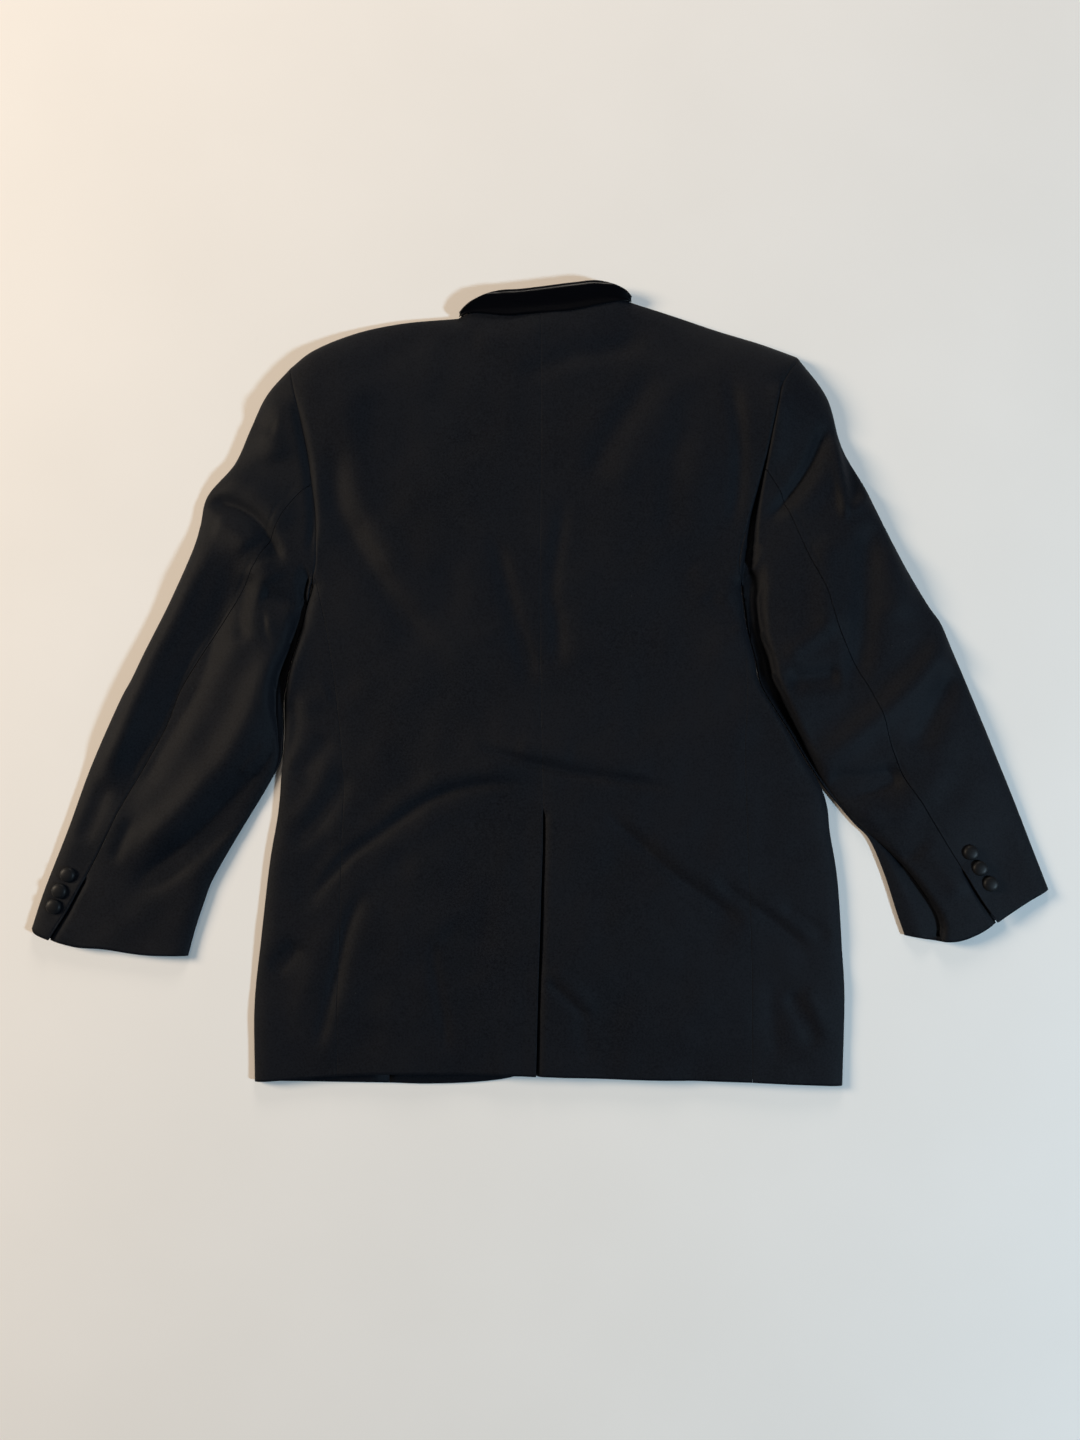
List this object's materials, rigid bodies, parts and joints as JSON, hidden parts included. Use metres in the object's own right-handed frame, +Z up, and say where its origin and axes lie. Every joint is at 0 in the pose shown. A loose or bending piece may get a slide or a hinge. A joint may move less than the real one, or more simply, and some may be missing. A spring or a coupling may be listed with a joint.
{
  "type": "tuxedo jacket",
  "caption": "Tuxedo jacket laid flat with its back up: satin collar, two-piece sleeves, centre back vent and covered cuff buttons.",
  "frame": {"origin": "middle of the jacket's box, on the surface that the jacket lies on", "axes": "+X towards the jacket's right sleeve, +Y towards its collar, +Z up from the surface"},
  "size_m": [1.015, 0.8072, 0.0281],
  "materials": {
    "wool": "matt fine worsted weave",
    "satin": "smooth lustrous satin"
  },
  "bodies": {
    "root": {"back_left": "wool", "back_right": "wool", "side_left": "wool", "side_right": "wool", "front_left": "wool", "front_right": "wool", "top_sleeve_left": "wool", "under_sleeve_left": "wool", "top_sleeve_right": "wool", "under_sleeve_right": "wool", "lapel_left": "satin", "lapel_right": "satin", "collar": "satin", "cuff_button_left_1": "satin", "cuff_button_left_2": "satin", "cuff_button_left_3": "satin", "cuff_button_right_1": "satin", "cuff_button_right_2": "satin", "cuff_button_right_3": "satin"}
  },
  "joints": []
}
